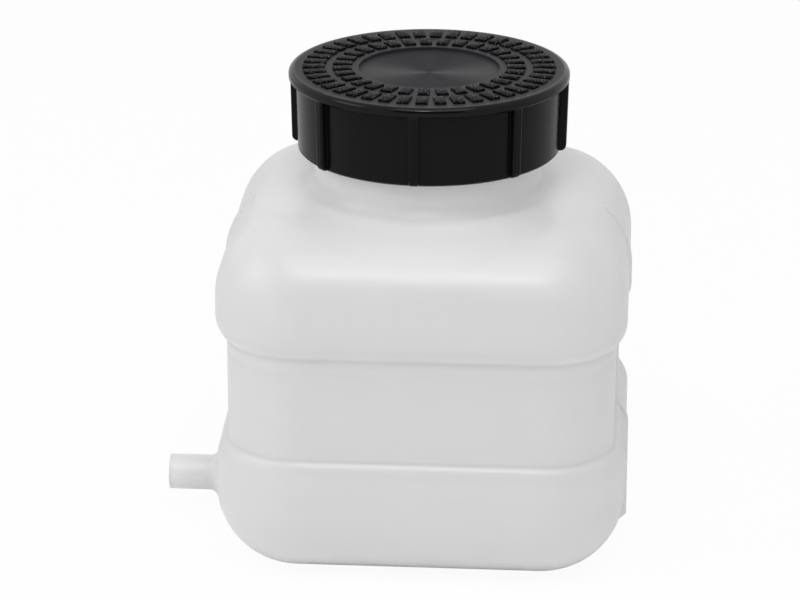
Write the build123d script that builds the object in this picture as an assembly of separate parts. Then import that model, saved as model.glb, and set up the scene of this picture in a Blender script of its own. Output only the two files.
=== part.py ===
from build123d import *
import math
import os

# A remote brake fluid reservoir: a blow-moulded tank with a screw cap and a hose spigot.
# Units are millimetres. The neck's axis is Z, and the tank stands on the plane z = 0.
# The spigot leaves towards -X, the front faces -Y, and the parting line lies in the XZ plane.

# Tank, outer form
tank_width = 90.2            # along X, over both lobes
tank_depth = 87.0            # along Y
corner_radius = 18.6         # of the vertical corners, in plan
foot_tightening = 1.6        # how much tighter the underside's arc is than the corners
shoulder_tightening = 0.4    # the same for the shoulder's arc
upper_side_height = 9.4      # upright wall from the strap groove to the shoulder
wall = 2.0

# Strap groove, all round the tank between its two lobes
groove_bottom = 29.2
groove_width = 23.6
groove_depth = 2.5
lobe_edge_radius = 6.5       # arc of a lobe's edge, which meets the groove's wall at a crease

# Parting line, a low ridge that stands as a fin in the rounding of the foot
seam_height = 0.5
seam_width = 1.2
seam_end = 4.4               # how far below the flat top it stops
fin_bevel = 1.9

# Neck
neck_radius = 25.4
neck_wall = 3.0
neck_height = 21.9           # from the flat top of the tank to the lip
neck_flare = 2.4             # radius of the hollow at the foot of the neck
neck_bite = 0.1              # how deep the end of that hollow runs into the flat top
lip_bevel = 0.5

# Hose spigot and the swelling that it grows from
spigot_radius = 4.0
spigot_bore_radius = 2.6
spigot_height = 8.8
spigot_length = 11.1         # beyond the face of the swelling
spigot_flare = 2.0           # radius of the hollow at its root
spigot_flare_turn = 52.0     # degrees of that hollow's arc
boss_reach = 2.8             # beyond the side wall
boss_curve = 24.0            # radius of the swelling in plan
boss_foot_radius = 4.0
boss_shoulder = 15.5         # where its face starts to lean back
boss_top = 26.5              # where the leaning face has come back to the wall

# Cap
cap_top_thickness = 2.4
flange_overhang = 1.6        # beyond the skirt
flange_thickness = 2.3
flange_edge_radius = 1.1
flange_under_bevel = 0.5
thread_space = 1.8           # room for the screw thread between the neck and the skirt
skirt_draft = 0.4            # how much narrower the skirt is at its lower edge
skirt_length = 18.1          # from the top of the cap to the skirt's lower edge
skirt_wall = 2.2
skirt_bevel = 0.4
grip_ribs = 8
grip_rib_width = 2.2
grip_rib_height = 1.5
grip_rib_draft = 0.4         # how much lower the ribs are at their lower ends
grip_rib_edge_radius = 0.5
grip_rib_end_radius = 1.3    # at the lower outer corner
grip_rib_lift = 0.2          # from the skirt's lower edge to the ribs' ends
grip_rib_phase = -92.7       # direction of one rib, in degrees from the front
well_inset = 1.2             # of the shallow well in the top, from the hub's outside to its wall
well_depth = 0.8             # at its wall
well_dish = 0.4              # how much lower its middle is
hub_inset = 5.6              # of the ring under the top that carries the baffle, from the neck's bore
hub_wall = 1.9
hub_length = 3.4

# Sealing ring
seal_thickness = 2.2
seal_clearance = 0.5         # to the skirt outside and to the hub inside

# Splash baffle, pressed into the cap's hub
baffle_clearance = 2.0       # to the neck's bore
baffle_thickness = 1.4
baffle_plug_wall = 1.5
baffle_plug_length = 2.4
baffle_rim_width = 1.8
baffle_gap = 0.3             # from its rim to the sealing ring

# What follows from the values above
foot_radius = corner_radius - foot_tightening
shoulder_radius = corner_radius - shoulder_tightening
groove_top = groove_bottom + groove_width
crease_rise = lobe_edge_radius - math.sqrt(lobe_edge_radius**2 - (lobe_edge_radius - groove_depth) ** 2)
side_height = groove_top + upper_side_height
tank_top = side_height + shoulder_radius
neck_bore_radius = neck_radius - neck_wall
lip_height = tank_top + neck_height
ceiling = lip_height + seal_thickness
cap_top = ceiling + cap_top_thickness
skirt_bottom = cap_top - skirt_length
skirt_bore_radius = neck_radius + thread_space
skirt_radius = skirt_bore_radius + skirt_wall
flange_radius = skirt_radius + flange_overhang
hub_bottom = ceiling - hub_length
hub_radius = neck_bore_radius - hub_inset
hub_bore_radius = hub_radius - hub_wall
well_radius = hub_radius - well_inset
baffle_radius = neck_bore_radius - baffle_clearance
boss_face = -tank_width / 2 - boss_reach


def ring(inner, outer, bottom, top):
    """A plain ring on the neck's axis or, where the inner radius is nought, a disc."""
    body = Cylinder(outer, top - bottom)
    if inner:
        body -= Cylinder(inner, top - bottom)
    return Pos(0, 0, (bottom + top) / 2) * body


def turned(profile):
    """The solid that a profile of connected lines gives when it is turned about the Z axis."""
    return revolve(Plane.XZ * make_face(Curve() + profile), Axis.Z)


def lobe(width, depth, corner, bottom, top, bottom_radius, top_radius):
    """A box with rounded corners and with its lower and upper edges rounded."""
    body = extrude(RectangleRounded(width, depth, corner), amount=top - bottom)
    body = fillet(body.faces().sort_by(Axis.Z)[0].edges(), bottom_radius)
    body = fillet(body.faces().sort_by(Axis.Z)[-1].edges(), top_radius)
    return Pos(0, 0, bottom) * body


def tank_form(inset):
    """The tank's body as a solid form, every surface moved inwards by the inset."""
    width = tank_width - 2 * inset
    depth = tank_depth - 2 * inset
    corner = corner_radius - inset
    edge = lobe_edge_radius - inset
    lower = lobe(width, depth, corner, inset, groove_bottom + crease_rise - inset, foot_radius - inset, edge)
    upper_bottom = groove_top - crease_rise + inset
    upper = lobe(width, depth, corner, upper_bottom, tank_top - inset, edge, shoulder_radius - inset)
    waist = RectangleRounded(width - 2 * groove_depth, depth - 2 * groove_depth, corner - groove_depth)
    core = Pos(0, 0, foot_radius) * extrude(waist, amount=side_height - foot_radius)
    return lower + core + upper


def spigot_boss():
    """The swelling on the end wall: a drum with a rounded foot, upright and then leaning back."""
    foot = boss_curve - boss_foot_radius
    roof_end = (boss_curve - 2 * boss_reach, boss_top + boss_reach)
    profile = [
        Polyline(roof_end, (0, boss_top + boss_reach), (0, 0), (foot, 0)),
        CenterArc((foot, boss_foot_radius), boss_foot_radius, -90, 90),
        Polyline((boss_curve, boss_foot_radius), (boss_curve, boss_shoulder),
                 (boss_curve - boss_reach, boss_top), roof_end),
    ]
    return Pos(boss_face + boss_curve, 0, 0) * turned(profile)


def spigot():
    """The plain spigot with a hollow cone at its root, pointing along +Z from the face of the swelling."""
    turn = math.radians(spigot_flare_turn)
    hollow_end = (spigot_radius + spigot_flare * (1 - math.cos(turn)), spigot_flare * (1 - math.sin(turn)))
    cone_end = (hollow_end[0] + spigot_flare * math.sin(turn), hollow_end[1] - spigot_flare * math.cos(turn))
    profile = [
        Polyline((spigot_radius, spigot_flare), (spigot_radius, spigot_length), (0, spigot_length),
                 (0, -boss_reach), (cone_end[0], -boss_reach), cone_end, hollow_end),
        CenterArc((spigot_radius + spigot_flare, spigot_flare), spigot_flare, 180, spigot_flare_turn),
    ]
    return turned(profile)


def neck():
    """The neck, solid, with a hollow foot that runs out on the flat top of the tank."""
    foot_reach = neck_radius + neck_flare
    foot_level = tank_top - neck_bite
    profile = [
        Polyline((foot_reach, foot_level), (foot_reach, foot_level - neck_flare),
                 (0, foot_level - neck_flare), (0, lip_height),
                 (neck_radius, lip_height), (neck_radius, foot_level + neck_flare)),
        CenterArc((foot_reach, foot_level + neck_flare), neck_flare, 180, 90),
    ]
    return turned(profile)


def parting_line(shell):
    """The ridge on both ends of the tank, and below it the fin that fills the rounding of the foot."""
    length = tank_top - seam_end - foot_radius
    fin = Pos(0, 0, foot_radius / 2) * Box(tank_width + 2 * seam_height, seam_width, foot_radius)
    ridge = chamfer(fin.faces().sort_by(Axis.Z)[0].edges().filter_by(Axis.Y), fin_bevel)
    for side in (-1, 1):
        slab = Pos(side * tank_width / 2, 0, foot_radius + length / 2) * Box(tank_width, seam_width, length)
        ridge += slab & Pos(side * seam_height, 0, 0) * shell
    return ridge


def make_tank():
    """The tank, blown in one piece with its neck, spigot and parting line."""
    shell = tank_form(0)
    body = shell + spigot_boss() + neck()
    body += parting_line(shell)
    outlet = Plane(origin=(boss_face, 0, spigot_height), z_dir=(-1, 0, 0))
    body += outlet * spigot()
    body -= tank_form(wall)
    body -= ring(0, neck_bore_radius, side_height, lip_height)
    body -= outlet * Cylinder(spigot_bore_radius, 2 * spigot_length)
    return chamfer(body.edges().group_by(Axis.Z)[-1], lip_bevel)


def grip_rib(turn):
    """One upright rib on the cap's skirt, lower towards its lower end, with rounded edges."""
    top = cap_top - flange_thickness / 2
    bottom = skirt_bottom + grip_rib_lift
    reach = skirt_radius + grip_rib_height
    root = skirt_bore_radius + skirt_wall / 2
    end = reach - grip_rib_draft
    side = make_face(Polyline((root, bottom), (root, top), (reach, top), (end, bottom), close=True))
    side = fillet(side.vertices().sort_by_distance((end, bottom, 0))[0], grip_rib_end_radius)
    body = extrude(Plane.YZ * Pos(0, 0, -grip_rib_width / 2) * side, amount=grip_rib_width)
    edges = body.edges().filter_by(lambda edge: edge.center().Y > skirt_radius and edge.center().Z < top)
    body = fillet(edges.filter_by(Axis.X, reverse=True), grip_rib_edge_radius)
    return Rot(0, 0, turn + 180) * body


def make_cap():
    """The screw cap: flange, tapered and ribbed skirt, well in the top, and the hub below it."""
    flange_bottom = cap_top - flange_thickness
    body = ring(0, flange_radius, flange_bottom, cap_top)
    body = fillet(body.edges().filter_by(GeomType.CIRCLE).group_by(Axis.Z)[-1], flange_edge_radius)
    body = chamfer(body.edges().filter_by(GeomType.CIRCLE).group_by(Axis.Z)[0], flange_under_bevel)
    height = cap_top - flange_edge_radius - skirt_bottom
    skirt = Pos(0, 0, skirt_bottom + height / 2) * Cone(skirt_radius - skirt_draft, skirt_radius, height)
    body += chamfer(skirt.edges().group_by(Axis.Z)[0], skirt_bevel)
    for rib in range(grip_ribs):
        body += grip_rib(grip_rib_phase + 360 * rib / grip_ribs)
    body -= ring(0, skirt_bore_radius, skirt_bottom, ceiling)
    body += ring(hub_bore_radius, hub_radius, hub_bottom, ceiling)
    floor = cap_top - well_depth - well_dish
    dish = (well_radius**2 + well_dish**2) / (2 * well_dish)
    well = ring(0, well_radius, floor, cap_top) & Pos(0, 0, floor + dish) * Sphere(dish)
    return body - well


def make_seal_ring():
    """The flat rubber ring between the neck's lip and the cap."""
    return ring(hub_radius + seal_clearance, skirt_bore_radius - seal_clearance, lip_height, ceiling)


def make_splash_baffle():
    """A shallow dish under the cap that keeps the ring in and the fluid off it."""
    base = hub_bottom - baffle_thickness
    body = ring(0, baffle_radius, base, hub_bottom)
    body += ring(baffle_radius - baffle_rim_width, baffle_radius, base, lip_height - baffle_gap)
    plug_top = hub_bottom + baffle_plug_length
    return body + ring(hub_bore_radius - baffle_plug_wall, hub_bore_radius, base, plug_top)


os.makedirs("parts", exist_ok=True)
export_step(make_tank(), "parts/tank.step")
export_step(make_cap(), "parts/cap.step")
export_step(make_seal_ring(), "parts/seal_ring.step")
export_step(make_splash_baffle(), "parts/splash_baffle.step")
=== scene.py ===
import math

import bpy
from mathutils import Matrix, Vector


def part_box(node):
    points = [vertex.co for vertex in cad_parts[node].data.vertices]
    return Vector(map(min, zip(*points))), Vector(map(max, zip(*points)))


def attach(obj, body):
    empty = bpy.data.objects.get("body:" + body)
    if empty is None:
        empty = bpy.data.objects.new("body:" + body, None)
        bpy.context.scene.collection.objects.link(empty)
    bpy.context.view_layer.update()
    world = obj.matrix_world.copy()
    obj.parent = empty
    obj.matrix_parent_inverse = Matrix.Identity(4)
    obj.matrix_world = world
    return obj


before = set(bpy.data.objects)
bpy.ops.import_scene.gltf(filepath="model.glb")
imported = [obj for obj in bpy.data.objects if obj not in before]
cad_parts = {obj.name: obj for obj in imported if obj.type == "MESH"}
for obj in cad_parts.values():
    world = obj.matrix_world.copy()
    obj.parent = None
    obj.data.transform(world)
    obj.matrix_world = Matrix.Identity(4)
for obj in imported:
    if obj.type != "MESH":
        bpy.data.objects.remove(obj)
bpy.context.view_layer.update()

bl_info = {
    "name": "Brake Fluid Reservoir",
    "version": (1, 0, 0),
    "blender": (4, 5, 0),
    "location": "3D View > Sidebar > Reservoir",
    "description": "Dresses a blow-moulded brake fluid reservoir with its screw cap",
    "category": "Object",
}

MM = 0.001
CAP_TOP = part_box("cap")[1][2]
SEAL_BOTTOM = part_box("seal_ring")[0][2]
SWELLING = (-46 * MM, 0.0, 12 * MM)     # middle of the swelling that carries the hose spigot
NECK_FOOT = (0.0, 0.0, 80 * MM)         # middle of the flat round the neck
SUNK = 0.15 * MM                        # how deep an added piece stands in the solid that carries it
THREAD_DROP = 2.3 * MM                  # from the neck's lip to the top of its thread
THREAD_STEPS = 144                      # sections along a thread
RUN_OUT = 0.12                          # share of a thread's length over which each end sinks away
END_HEIGHT = 0.08                       # share of its height that a thread keeps at its very ends
WELL_RIM = (15.8 * MM, 15.2 * MM)       # radii between which the cap's face gives way to its well
FACE_RIM = (30.2 * MM, 29.4 * MM)       # radii between which the cap's edge gives way to its face
FACE_FOOT = (CAP_TOP - 2.0 * MM, CAP_TOP - 1.6 * MM)    # heights between which the look of the face sets in
EDGE_FOOT = (CAP_TOP - 2.6 * MM, CAP_TOP - 2.2 * MM)    # heights between which the polish of the edge sets in
FLOOR_GAP = 0.1 * MM                    # between underside and floor, so that the two don't coincide
LAMP_AIM = (0, 0, 50 * MM)              # middle of the object, which the lamps point at
CARD_PLACE = (0.1, -1.4, 0.35)          # middle of the dark card behind the camera
CARD_SIZE = (1.5, 1.3)                  # its width and its height


def linear(hex_colour):
    """An sRGB hex colour as linear red, green, blue and alpha."""
    channels = [int(hex_colour[i:i + 2], 16) / 255 for i in (1, 3, 5)]
    return [c / 12.92 if c <= 0.04045 else ((c + 0.055) / 1.055) ** 2.4 for c in channels] + [1.0]


# Sizes and colours that a user would change

class ThreadSizes(bpy.types.PropertyGroup):
    lead: bpy.props.FloatProperty(
        name="Lead", description="Rise of the screw thread in one turn", default=4 * MM, unit="LENGTH")
    turns: bpy.props.FloatProperty(
        name="Turns", description="Length of each thread in turns", default=1.5)
    neck_wall: bpy.props.FloatProperty(
        name="Neck wall", description="Outer radius of the neck under its thread",
        default=25.4 * MM, unit="LENGTH")
    neck_crest: bpy.props.FloatProperty(
        name="Neck crest", description="Radius at the crest of the neck's thread",
        default=26.6 * MM, unit="LENGTH")
    cap_wall: bpy.props.FloatProperty(
        name="Cap wall", description="Bore radius of the cap's skirt", default=27.2 * MM, unit="LENGTH")
    cap_crest: bpy.props.FloatProperty(
        name="Cap crest", description="Radius at the crest of the cap's thread",
        default=26.0 * MM, unit="LENGTH")
    root_width: bpy.props.FloatProperty(
        name="Root width", description="Width of the thread where it meets the wall",
        default=1.9 * MM, unit="LENGTH")
    crest_share: bpy.props.FloatProperty(
        name="Crest share", description="Width of the crest as a share of the root",
        default=0.42, subtype="FACTOR")


class MarkSizes(bpy.types.PropertyGroup):
    outer_count: bpy.props.IntProperty(
        name="Outer bars", description="Raised bars in the outer ring on the cap", default=42)
    outer_radius: bpy.props.FloatProperty(
        name="Outer ring", description="Middle radius of the outer ring", default=25.4 * MM, unit="LENGTH")
    inner_count: bpy.props.IntProperty(
        name="Inner bars", description="Raised bars in the inner ring on the cap", default=31)
    inner_radius: bpy.props.FloatProperty(
        name="Inner ring", description="Middle radius of the inner ring", default=19.2 * MM, unit="LENGTH")
    outer_length: bpy.props.FloatProperty(
        name="Outer length", description="Length of an outer bar along the radius",
        default=5.0 * MM, unit="LENGTH")
    inner_length: bpy.props.FloatProperty(
        name="Inner length", description="Length of an inner bar along the radius",
        default=4.2 * MM, unit="LENGTH")
    width: bpy.props.FloatProperty(
        name="Width", description="Width of a bar round the cap", default=2.6 * MM, unit="LENGTH")
    height: bpy.props.FloatProperty(
        name="Height", description="How far a bar stands above the cap", default=0.5 * MM, unit="LENGTH")
    rounding: bpy.props.FloatProperty(
        name="Rounding", description="Rounding of a bar's upper edges", default=0.25 * MM, unit="LENGTH")


class FinishColours(bpy.types.PropertyGroup):
    tank: bpy.props.FloatVectorProperty(
        name="Tank", description="Natural polyethylene", size=4, subtype="COLOR", default=linear("#F6F6F7"))
    cap: bpy.props.FloatVectorProperty(
        name="Cap", description="Black polypropylene", size=4, subtype="COLOR", default=linear("#0C0C0D"))
    cap_face: bpy.props.FloatVectorProperty(
        name="Cap face", description="Matt face of the cap", size=4, subtype="COLOR", default=linear("#28282B"))
    bars: bpy.props.FloatVectorProperty(
        name="Bars", description="Raised bars on the cap", size=4, subtype="COLOR", default=linear("#0E0E10"))
    rubber: bpy.props.FloatVectorProperty(
        name="Seal", description="Black rubber", size=4, subtype="COLOR", default=linear("#1A1A1A"))
    bloom: bpy.props.FloatVectorProperty(
        name="Bloom", description="Bloom on the rubber", size=4, subtype="COLOR", default=linear("#2A2A2A"))


class StageSizes(bpy.types.PropertyGroup):
    distance: bpy.props.FloatProperty(
        name="Camera distance", description="From the camera to the object", default=0.865, unit="LENGTH")
    elevation: bpy.props.FloatProperty(
        name="Camera elevation", description="Height angle of the camera",
        default=math.radians(20.2376), subtype="ANGLE")
    azimuth: bpy.props.FloatProperty(
        name="Camera azimuth", description="Turn of the camera from the front",
        default=math.radians(3.9116), subtype="ANGLE")
    roll: bpy.props.FloatProperty(
        name="Camera roll", description="Tilt of the picture", default=math.radians(0.1285), subtype="ANGLE")
    lens: bpy.props.FloatProperty(
        name="Lens", description="Focal length for a 36 mm wide frame", default=172.826, unit="CAMERA")
    aim_height: bpy.props.FloatProperty(
        name="Aim height", description="Height that the camera is set out from", default=50 * MM, unit="LENGTH")
    aside: bpy.props.FloatProperty(
        name="Aside", description="Place of the object right of the picture's middle",
        default=6.3157 * MM, unit="LENGTH")
    raised: bpy.props.FloatProperty(
        name="Raised", description="Place of the object above the picture's middle",
        default=-2.1354 * MM, unit="LENGTH")
    surround: bpy.props.FloatProperty(
        name="Surround", description="Brightness of the surround as a light", default=0.56)
    floor_white: bpy.props.FloatProperty(
        name="Floor white", description="Share of plain white in the floor as it is seen", default=0.94,
        subtype="FACTOR")


# Helpers for the mesh tools

def only(piece):
    """Makes this piece the one that is selected and active."""
    bpy.ops.object.select_all(action="DESELECT")
    piece.select_set(True)
    bpy.context.view_layer.objects.active = piece


def pick(piece, wanted, kind="VERT"):
    """In edit mode, selects the vertices, edges or faces that the test accepts and nothing else."""
    bpy.ops.mesh.select_mode(type=kind)
    bpy.ops.mesh.select_all(action="DESELECT")
    bpy.ops.object.mode_set(mode="OBJECT")
    mesh = piece.data
    items = {"VERT": mesh.vertices, "EDGE": mesh.edges, "FACE": mesh.polygons}[kind]
    for item in items:
        item.select = wanted(item)
    bpy.ops.object.mode_set(mode="EDIT")


def settle(piece, name):
    """Puts the piece's place into its mesh and names it."""
    only(piece)
    bpy.ops.object.transform_apply(location=True, rotation=True, scale=True)
    piece.name = name
    piece.data.name = name
    return piece


def finish_modifier(piece, kind, **settings):
    """Adds a modifier with its settings and applies it."""
    only(piece)
    bpy.ops.object.modifier_add(type=kind)
    modifier = piece.modifiers[-1]
    for key, value in settings.items():
        setattr(modifier, key, value)
    bpy.ops.object.modifier_apply(modifier=modifier.name)


def close_and_point_out(piece):
    """Merges doubles, fills open ends and turns the faces outwards."""
    only(piece)
    bpy.ops.object.mode_set(mode="EDIT")
    bpy.ops.mesh.select_all(action="SELECT")
    bpy.ops.mesh.remove_doubles(threshold=0.001 * MM)
    bpy.ops.mesh.select_mode(type="EDGE")
    bpy.ops.mesh.select_all(action="DESELECT")
    bpy.ops.mesh.select_non_manifold(extend=False, use_wire=False, use_boundary=True,
                                     use_multi_face=False, use_non_contiguous=False, use_verts=False)
    bpy.ops.mesh.fill_holes(sides=0)
    bpy.ops.mesh.select_all(action="SELECT")
    bpy.ops.mesh.normals_make_consistent(inside=False)
    bpy.ops.object.mode_set(mode="OBJECT")


# Materials

def add_node(tree, kind, inputs=None, **settings):
    """Adds a node with its settings, and links or sets its inputs."""
    made = tree.nodes.new(kind)
    for key, value in settings.items():
        setattr(made, key, value)
    for key, value in (inputs or {}).items():
        if isinstance(value, bpy.types.NodeSocket):
            tree.links.new(value, made.inputs[key])
        else:
            made.inputs[key].default_value = value
    return made


def new_material(name):
    """An empty node material with its output and a place on the object."""
    material = bpy.data.materials.new(name)
    material.use_nodes = True
    tree = material.node_tree
    tree.nodes.clear()
    output = add_node(tree, "ShaderNodeOutputMaterial")
    place = add_node(tree, "ShaderNodeTexCoord").outputs["Object"]
    return material, tree, output, place


def ramp(tree, value, start, end, low=0.0, high=1.0):
    """A socket that goes from low to high while the value goes from start to end."""
    return add_node(tree, "ShaderNodeMapRange", {
        "Value": value, "From Min": start, "From Max": end, "To Min": low, "To Max": high}).outputs["Result"]


def hump(tree, value, turns, height):
    """A socket that climbs to a height between the first two turns, in mm, and sinks between the last two."""
    first, second, third, fourth = (turn * MM for turn in turns)
    climb = ramp(tree, value, first, second, high=height)
    sink = ramp(tree, value, fourth, third)
    return add_node(tree, "ShaderNodeMath", {0: climb, 1: sink}, operation="MULTIPLY").outputs["Value"]


def blend(tree, share, low, high, kind="FLOAT"):
    """A socket that goes from one value or colour to the other with the share."""
    return add_node(tree, "ShaderNodeMix", {"Factor": share, "A": low, "B": high},
                    data_type=kind).outputs["Result"]


def noise(tree, place, size, detail):
    """A socket with a noise whose features have this size."""
    return add_node(tree, "ShaderNodeTexNoise", {
        "Vector": place, "Scale": 1 / size, "Detail": detail}).outputs["Fac"]


def bump(tree, height, distance, normal=None):
    """A socket with the normal that a height of this distance gives."""
    inputs = {"Height": height, "Distance": distance, "Strength": 1.0}
    if normal is not None:
        inputs["Normal"] = normal
    return add_node(tree, "ShaderNodeBump", inputs).outputs["Normal"]


def blown_polyethylene(colours):
    """Natural polyethylene, blow moulded: milky, with a soft sheen and a slightly uneven skin."""
    material, tree, output, place = new_material("natural polyethylene, blow moulded")
    # the wall's thickness wanders over some 12 mm, which shows as very faint clouds
    thin = [c * 0.97 for c in colours.tank[:3]] + [1.0]
    tint = blend(tree, noise(tree, place, 12 * MM, 2.0), thin, colours.tank, "RGBA")
    # painted light and shade: whiter on the flat round the neck, in the crease under the upper lobe and on the
    # pinched foot, lifting their shade, and greyer on the shoulder and the lower lobe's upper edge, dimming
    # their highlight
    axes = add_node(tree, "ShaderNodeSeparateXYZ", {"Vector": place}).outputs
    rise = axes["Z"]
    from_neck = add_node(tree, "ShaderNodeVectorMath", {0: place, 1: NECK_FOOT},
                         operation="DISTANCE").outputs["Value"]
    painted_light_and_shade = 0.90
    for value, turns, change in (                       # turns in mm
            (from_neck, (25, 30, 32, 40), 0.13),        # flat round the neck
            (rise, (49.5, 52.5, 53.3, 55.5), 0.13),     # crease under the upper lobe
            (rise, (-1, 0, 4, 16), 0.05),               # pinched foot
            (rise, (62, 71, 76, 80), -0.05),            # shoulder
            (rise, (23, 27, 28.5, 30), -0.04)):         # upper edge of the lower lobe
        painted_light_and_shade = add_node(tree, "ShaderNodeMath", {0: painted_light_and_shade, 1: hump(tree, value, turns, change)},
                             operation="ADD").outputs["Value"]
    # the milky colour, scaled by this painted light and shade
    milk = add_node(tree, "ShaderNodeVectorMath", {0: tint, "Scale": painted_light_and_shade}, operation="SCALE")
    # blown plastic doesn't fill a mould's corners, so its edges are soft, and softest on the upper lobe. Only
    # the thin parting ridge and the screw thread are crisp
    from_middle = add_node(tree, "ShaderNodeMath", {0: axes["Y"]}, operation="ABSOLUTE").outputs["Value"]
    from_swelling = add_node(tree, "ShaderNodeVectorMath", {0: place, 1: SWELLING},
                             operation="DISTANCE").outputs["Value"]
    rounding = 1.8 * MM                         # lower lobe
    for value, start, end, radius in (          # all in mm
            (rise, 34, 46, 4.5),                # upper lobe
            (from_middle, 5, 2, 0.5),           # parting ridge
            (from_swelling, 27, 20, 3.0),       # round the swelling
            (rise, 86, 90, 0.3)):               # screw thread
        rounding = ramp(tree, value, start * MM, end * MM, rounding, radius * MM)
    soft_edge = add_node(tree, "ShaderNodeBevel", {"Radius": rounding}, samples=12)
    # the upper edge of the lower lobe sets a little steeper than its mould
    lean = add_node(tree, "ShaderNodeCombineXYZ", {"Z": hump(tree, rise, (24, 27, 28, 29.5), -0.25)})
    turned = add_node(tree, "ShaderNodeVectorTransform", {"Vector": lean.outputs["Vector"]},
                      vector_type="VECTOR", convert_from="OBJECT", convert_to="WORLD")
    leaning = add_node(tree, "ShaderNodeVectorMath", {
        0: soft_edge.outputs["Normal"], 1: turned.outputs["Vector"]}, operation="ADD")
    steeper = add_node(tree, "ShaderNodeVectorMath", {0: leaning.outputs["Vector"]}, operation="NORMALIZE")
    # the blasted mould leaves a grain of about 0.3 mm, over ripples of about 5 mm
    ripples = bump(tree, noise(tree, place, 5 * MM, 1.0), 0.02 * MM, steeper.outputs["Vector"])
    grain = bump(tree, noise(tree, place, 0.3 * MM, 1.0), 0.006 * MM, ripples)
    skin = add_node(tree, "ShaderNodeBsdfPrincipled", {
        "Base Color": milk.outputs["Vector"], "Roughness": 0.32, "IOR": 1.51, "Specular IOR Level": 0.40,
        "Subsurface Weight": 0.6, "Subsurface Radius": (1.0, 1.0, 1.0), "Subsurface Scale": 6 * MM,
        "Normal": grain})
    tree.links.new(skin.outputs["BSDF"], output.inputs["Surface"])
    return material


def moulded_polypropylene(colours):
    """Black polypropylene, injection moulded: a smooth skirt and a finely eroded, matt top face."""
    material, tree, output, place = new_material("black polypropylene, injection moulded")
    axes = add_node(tree, "ShaderNodeSeparateXYZ", {"Vector": place}).outputs
    rise = axes["Z"]
    flat = add_node(tree, "ShaderNodeCombineXYZ", {"X": axes["X"], "Y": axes["Y"]})
    radius = add_node(tree, "ShaderNodeVectorMath", {0: flat.outputs["Vector"]},
                      operation="LENGTH").outputs["Value"]
    # the eroded face covers the well too and reaches to the start of the rounded edge, which is polished
    inside = ramp(tree, radius, *FACE_RIM)
    above = ramp(tree, rise, *FACE_FOOT)
    face = add_node(tree, "ShaderNodeMath", {0: inside, 1: above}, operation="MULTIPLY").outputs["Value"]
    edge = ramp(tree, rise, *EDGE_FOOT)
    colour = blend(tree, face, colours.cap, colours.cap_face, "RGBA")
    # handling leaves faint clouds of about 6 mm in the skirt's gloss
    skirt_roughness = ramp(tree, noise(tree, place, 6 * MM, 3.0), 0.3, 0.7, 0.18, 0.26)
    roughness = blend(tree, face, blend(tree, edge, skirt_roughness, 0.11), 0.55)
    face_shine = ramp(tree, radius, *WELL_RIM, 0.20, 0.15)
    shine = blend(tree, face, blend(tree, edge, 0.11, 0.16), face_shine)
    # the well's mould insert was turned on a lathe, so its gloss is drawn out across the rings
    drawn_out = ramp(tree, radius, *WELL_RIM, high=0.9)
    rings = add_node(tree, "ShaderNodeTangent", direction_type="RADIAL", axis="Z")
    # spark erosion of about 0.15 mm, drawn at 0.25 mm so that it shows
    depth = add_node(tree, "ShaderNodeMath", {0: noise(tree, place, 0.25 * MM, 1.0), 1: face},
                     operation="MULTIPLY").outputs["Value"]
    soft_edge = add_node(tree, "ShaderNodeBevel", {"Radius": 0.25 * MM}, samples=6)
    skin = add_node(tree, "ShaderNodeBsdfPrincipled", {
        "Base Color": colour, "Roughness": roughness, "IOR": 1.49, "Specular IOR Level": shine,
        "Anisotropic": drawn_out, "Anisotropic Rotation": 0.25, "Tangent": rings.outputs["Tangent"],
        "Normal": bump(tree, depth, 0.02 * MM, soft_edge.outputs["Normal"])})
    tree.links.new(skin.outputs["BSDF"], output.inputs["Surface"])
    return material


def eroded_polypropylene(colours):
    """The raised bars: the same black polypropylene, from coarsely eroded pockets of the mould."""
    material, tree, output, place = new_material("black polypropylene, coarsely eroded")
    # the craters of about 0.35 mm swallow most light, and a few beads between them glint
    craters = noise(tree, place, 0.35 * MM, 1.0)
    skin = add_node(tree, "ShaderNodeBsdfPrincipled", {
        "Base Color": colours.bars, "Roughness": 0.30, "IOR": 1.49,
        "Specular IOR Level": ramp(tree, craters, 0.62, 0.70, 0.01, 0.8),
        "Normal": bump(tree, craters, 0.08 * MM)})
    tree.links.new(skin.outputs["BSDF"], output.inputs["Surface"])
    return material


def moulded_rubber(colours):
    """Black sealing rubber, compression moulded: dull, with a fine bloom."""
    material, tree, output, place = new_material("black rubber, compression moulded")
    # the bloom gathers in patches of about 2 mm
    bloom = noise(tree, place, 2 * MM, 3.0)
    skin = add_node(tree, "ShaderNodeBsdfPrincipled", {
        "Base Color": blend(tree, bloom, colours.rubber, colours.bloom, "RGBA"),
        "Roughness": 0.75, "IOR": 1.52, "Normal": bump(tree, bloom, 0.03 * MM)})
    tree.links.new(skin.outputs["BSDF"], output.inputs["Surface"])
    return material


def material_named(start):
    """The material that an earlier step made, found by the start of its name."""
    return next(m for m in bpy.data.materials if m.name.startswith(start))


def dress(piece, material):
    """Gives the piece this material all over."""
    piece.data.materials.clear()
    piece.data.materials.append(material)


# Steps

class RESERVOIR_OT_finishes(bpy.types.Operator):
    """Gives each solid of the reservoir its material"""
    bl_idname = "reservoir.finishes"
    bl_label = "Finishes"

    def execute(self, context):
        colours = context.scene.reservoir_colours
        polyethylene = blown_polyethylene(colours)
        black = moulded_polypropylene(colours)
        eroded_polypropylene(colours)
        rubber = moulded_rubber(colours)
        for node, material in (("tank", polyethylene), ("cap", black),
                               ("splash_baffle", black), ("seal_ring", rubber)):
            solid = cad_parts[node]
            for place in solid.material_slots:
                place.material = material
        return {"FINISHED"}


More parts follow.
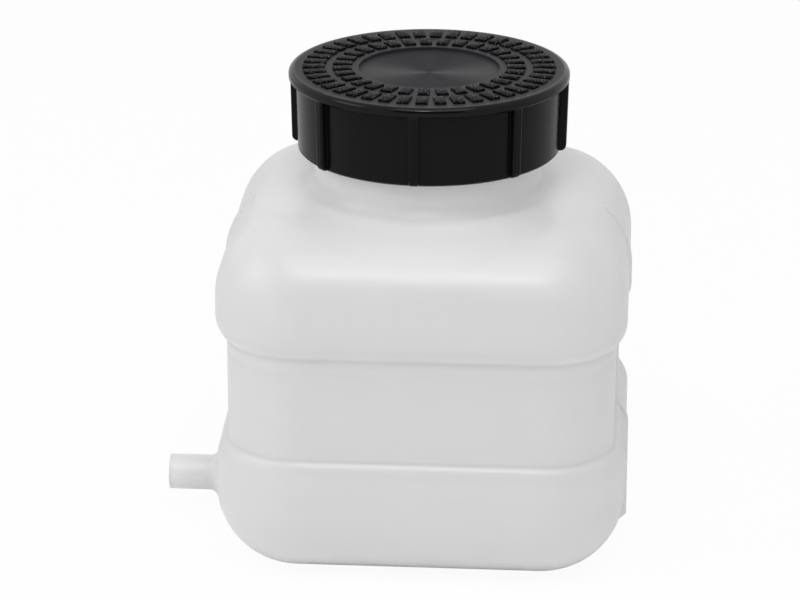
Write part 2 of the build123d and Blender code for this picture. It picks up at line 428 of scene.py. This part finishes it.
def thread(name, sizes, wall, crest, drop):
    """One run of a right-hand thread from its wall to its crest, lower than the neck's by its drop."""
    bottom = SEAL_BOTTOM - THREAD_DROP - sizes.lead * sizes.turns - drop
    middle = (wall + crest) / 2
    outward = 1 if crest > wall else -1
    overlap = SUNK * outward
    bpy.ops.mesh.primitive_plane_add(size=1.0, location=(middle, 0, bottom), rotation=(math.pi / 2, 0, 0))
    piece = bpy.context.active_object
    piece.scale = (abs(crest - wall), sizes.root_width, 1.0)
    settle(piece, name)
    bpy.ops.object.mode_set(mode="EDIT")
    pick(piece, lambda v: (v.co.x - middle) * outward > 0)
    bpy.ops.transform.resize(value=(1, 1, sizes.crest_share), center_override=(crest, 0, bottom))
    pick(piece, lambda v: (v.co.x - middle) * outward < 0)
    bpy.ops.transform.translate(value=(-overlap, 0, 0))
    bpy.ops.mesh.select_all(action="SELECT")
    bpy.ops.mesh.delete(type="ONLY_FACE")
    bpy.ops.object.mode_set(mode="OBJECT")
    finish_modifier(piece, "SCREW", angle=2 * math.pi * sizes.turns, screw_offset=sizes.lead * sizes.turns,
                    steps=THREAD_STEPS, render_steps=THREAD_STEPS, use_merge_vertices=False)
    low = wall - overlap
    for vertex in piece.data.vertices:
        across = math.hypot(vertex.co.x, vertex.co.y)
        turn = math.atan2(vertex.co.y, vertex.co.x) / (2 * math.pi)
        share = thread_share(vertex.co.z - bottom, turn, sizes)
        height = max(0.0, min(1.0, share / RUN_OUT, (1 - share) / RUN_OUT))
        height = height * height * (3 - 2 * height)
        new = low + (across - low) * (END_HEIGHT + (1 - END_HEIGHT) * height)
        vertex.co.x *= new / across
        vertex.co.y *= new / across
    close_and_point_out(piece)
    bpy.ops.object.shade_smooth_by_angle(angle=math.radians(35))
    return piece


def thread_share(rise, turn, sizes):
    """How far along the thread a point is, from 0 to 1, by its rise and its direction."""
    whole = rise / sizes.lead
    nearest = round(whole - turn)
    return (turn + nearest) / sizes.turns


class RESERVOIR_OT_neck_thread(bpy.types.Operator):
    """Winds the thread on the tank's neck"""
    bl_idname = "reservoir.neck_thread"
    bl_label = "Neck thread"

    def execute(self, context):
        sizes = context.scene.reservoir_threads
        piece = thread("neck_thread", sizes, sizes.neck_wall, sizes.neck_crest, 0.0)
        dress(piece, material_named("natural polyethylene"))
        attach(piece, "tank")
        return {"FINISHED"}


class RESERVOIR_OT_cap_thread(bpy.types.Operator):
    """Winds the thread inside the cap, half a lead below the neck's"""
    bl_idname = "reservoir.cap_thread"
    bl_label = "Cap thread"

    def execute(self, context):
        sizes = context.scene.reservoir_threads
        piece = thread("cap_thread", sizes, sizes.cap_wall, sizes.cap_crest, sizes.lead / 2)
        dress(piece, material_named("black polypropylene, injection"))
        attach(piece, "cap")
        return {"FINISHED"}


def one_bar(sizes, radius, length):
    """One raised bar with rounded upper edges, its foot sunk a little into the cap."""
    tall = sizes.height + SUNK
    bpy.ops.mesh.primitive_cube_add(size=1.0, location=(0, -radius, CAP_TOP - SUNK + tall / 2))
    bar = bpy.context.active_object
    bar.scale = (sizes.width, length, tall)
    settle(bar, "bar")
    bpy.ops.object.mode_set(mode="EDIT")
    pick(bar, lambda e: any(bar.data.vertices[i].co.z > CAP_TOP for i in e.vertices), "EDGE")
    bpy.ops.mesh.bevel(offset=sizes.rounding, segments=3, affect="EDGES")
    bpy.ops.object.mode_set(mode="OBJECT")
    return bar


def ring_of_bars(name, sizes, count, radius, length):
    """The bar copied round the cap, joined as one piece."""
    first = one_bar(sizes, radius, length)
    bars = [first]
    for step in range(1, count):
        bar = first.copy()
        bar.data = first.data.copy()
        bpy.context.scene.collection.objects.link(bar)
        bar.data.transform(Matrix.Rotation(2 * math.pi * step / count, 4, "Z"))
        bars.append(bar)
    bpy.ops.object.select_all(action="DESELECT")
    for bar in bars:
        bar.select_set(True)
    bpy.context.view_layer.objects.active = first
    bpy.ops.object.join()
    piece = settle(first, name)
    bpy.ops.object.shade_smooth_by_angle(angle=math.radians(40))
    dress(piece, material_named("black polypropylene, coarsely"))
    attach(piece, "cap")


class RESERVOIR_OT_cap_bars(bpy.types.Operator):
    """Raises the two rings of plain bars on the cap's face"""
    bl_idname = "reservoir.cap_bars"
    bl_label = "Cap bars"

    def execute(self, context):
        sizes = context.scene.reservoir_marks
        ring_of_bars("cap_bars_outer", sizes, sizes.outer_count, sizes.outer_radius, sizes.outer_length)
        ring_of_bars("cap_bars_inner", sizes, sizes.inner_count, sizes.inner_radius, sizes.inner_length)
        return {"FINISHED"}


def pale_floor(white_share):
    """A large pale floor that keeps the object's shadow and otherwise reads as white."""
    bpy.ops.mesh.primitive_plane_add(size=6.0, location=(0, 0, -FLOOR_GAP))
    floor = bpy.context.active_object
    floor.name = "floor"
    material, tree, output, _ = new_material("pale studio paper")
    paper = add_node(tree, "ShaderNodeBsdfDiffuse", {"Color": linear("#F6F6F6")})
    white = add_node(tree, "ShaderNodeEmission", {"Color": (1, 1, 1, 1), "Strength": 1.0})
    rays = add_node(tree, "ShaderNodeLightPath")
    seen = add_node(tree, "ShaderNodeMath", {0: rays.outputs["Is Camera Ray"], 1: white_share},
                    operation="MULTIPLY")
    both = add_node(tree, "ShaderNodeMixShader", {
        0: seen.outputs["Value"], 1: paper.outputs["BSDF"], 2: white.outputs["Emission"]})
    tree.links.new(both.outputs["Shader"], output.inputs["Surface"])
    dress(floor, material)


def white_surround(strength):
    """A world that lights softly, and that the camera and reflections see as white."""
    world = bpy.data.worlds.new("studio surround")
    bpy.context.scene.world = world
    world.use_nodes = True
    tree = world.node_tree
    tree.nodes.clear()
    rays = add_node(tree, "ShaderNodeLightPath")
    seen = add_node(tree, "ShaderNodeMath", {
        0: rays.outputs["Is Camera Ray"], 1: rays.outputs["Is Glossy Ray"]}, operation="MAXIMUM")
    seen = add_node(tree, "ShaderNodeMath", {
        0: seen.outputs["Value"], 1: rays.outputs["Is Transmission Ray"]}, operation="MAXIMUM")
    level = ramp(tree, seen.outputs["Value"], 0.0, 1.0, low=strength)
    light = add_node(tree, "ShaderNodeBackground", {"Color": (1, 1, 1, 1), "Strength": level})
    output = add_node(tree, "ShaderNodeOutputWorld")
    tree.links.new(light.outputs["Background"], output.inputs["Surface"])


def dark_card():
    """A large dark card behind the camera, which only reflections see."""
    bpy.ops.mesh.primitive_plane_add(size=1.0, location=CARD_PLACE, rotation=(math.pi / 2, 0, 0))
    card = bpy.context.active_object
    card.name = "dark_card"
    card.scale = (*CARD_SIZE, 1.0)
    material, tree, output, _ = new_material("black studio card")
    felt = add_node(tree, "ShaderNodeBsdfDiffuse", {"Color": linear("#202020")})
    tree.links.new(felt.outputs["BSDF"], output.inputs["Surface"])
    dress(card, material)
    card.visible_camera = False
    card.visible_diffuse = False
    card.visible_shadow = False
    card.visible_transmission = False


def softbox(name, place, width, depth, power):
    """A rectangular soft lamp at a place, turned towards the middle of the object."""
    bpy.ops.object.light_add(type="AREA", location=place)
    lamp = bpy.context.active_object
    lamp.name = name
    lamp.data.shape = "RECTANGLE"
    lamp.data.size = width
    lamp.data.size_y = depth
    lamp.data.energy = power
    lamp.rotation_euler = (Vector(LAMP_AIM) - Vector(place)).to_track_quat("-Z", "Y").to_euler()
    return lamp


def set_camera(sizes):
    """The camera at the photograph's distance and angle."""
    turn, rise, roll = sizes.azimuth, sizes.elevation, sizes.roll
    ahead = Vector((-math.sin(turn) * math.cos(rise), math.cos(turn) * math.cos(rise), -math.sin(rise)))
    level = Vector((math.cos(turn), math.sin(turn), 0))
    upright = level.cross(ahead)
    across = math.cos(roll) * level + math.sin(roll) * upright
    up = -math.sin(roll) * level + math.cos(roll) * upright
    place = Vector((0, 0, sizes.aim_height)) - sizes.distance * ahead - sizes.aside * across - sizes.raised * up
    bpy.ops.object.camera_add(location=place)
    camera = bpy.context.active_object
    camera.name = "camera"
    camera.rotation_euler = Matrix((across, up, -ahead)).transposed().to_euler()
    camera.data.lens = sizes.lens
    camera.data.sensor_width = 36.0
    camera.data.clip_start = 0.01
    camera.data.clip_end = 20.0
    bpy.context.scene.camera = camera


class RESERVOIR_OT_stage(bpy.types.Operator):
    """Sets the floor, the soft lamps, the white surround and the camera"""
    bl_idname = "reservoir.stage"
    bl_label = "Stage"

    def execute(self, context):
        sizes = context.scene.reservoir_stage
        pale_floor(sizes.floor_white)
        white_surround(sizes.surround)
        dark_card()
        softbox("lamp_front", place=(0.09, -0.50, 1.05), width=0.9, depth=0.7, power=4.6)
        glint = softbox("lamp_glint", place=(-0.03, -0.80, 0.90), width=0.18, depth=0.14, power=1.8)
        glint.visible_diffuse = False
        softbox("lamp_left", place=(-0.95, -0.35, 0.70), width=0.5, depth=0.5, power=2.35)
        set_camera(sizes)
        context.scene.view_settings.view_transform = "Standard"
        return {"FINISHED"}


STEPS = (RESERVOIR_OT_finishes, RESERVOIR_OT_neck_thread, RESERVOIR_OT_cap_thread, RESERVOIR_OT_cap_bars,
         RESERVOIR_OT_stage)


class RESERVOIR_PT_steps(bpy.types.Panel):
    """Lists the steps and their sizes"""
    bl_idname = "RESERVOIR_PT_steps"
    bl_label = "Reservoir"
    bl_space_type = "VIEW_3D"
    bl_region_type = "UI"
    bl_category = "Reservoir"

    def draw(self, context):
        for step in STEPS:
            self.layout.operator(step.bl_idname)
        for group in (context.scene.reservoir_threads, context.scene.reservoir_marks,
                      context.scene.reservoir_colours, context.scene.reservoir_stage):
            column = self.layout.column()
            for key in group.bl_rna.properties.keys():
                if key not in ("rna_type", "name"):
                    column.prop(group, key)


GROUPS = {"reservoir_threads": ThreadSizes, "reservoir_marks": MarkSizes,
          "reservoir_colours": FinishColours, "reservoir_stage": StageSizes}


def register():
    for kind in (*GROUPS.values(), *STEPS, RESERVOIR_PT_steps):
        bpy.utils.register_class(kind)
    for name, kind in GROUPS.items():
        setattr(bpy.types.Scene, name, bpy.props.PointerProperty(type=kind))


def unregister():
    for name in GROUPS:
        delattr(bpy.types.Scene, name)
    for kind in reversed((*GROUPS.values(), *STEPS, RESERVOIR_PT_steps)):
        bpy.utils.unregister_class(kind)


def main():
    register()
    bpy.ops.reservoir.finishes()
    bpy.ops.reservoir.neck_thread()
    bpy.ops.reservoir.cap_thread()
    bpy.ops.reservoir.cap_bars()
    bpy.ops.reservoir.stage()


if __name__ == "__main__":
    main()
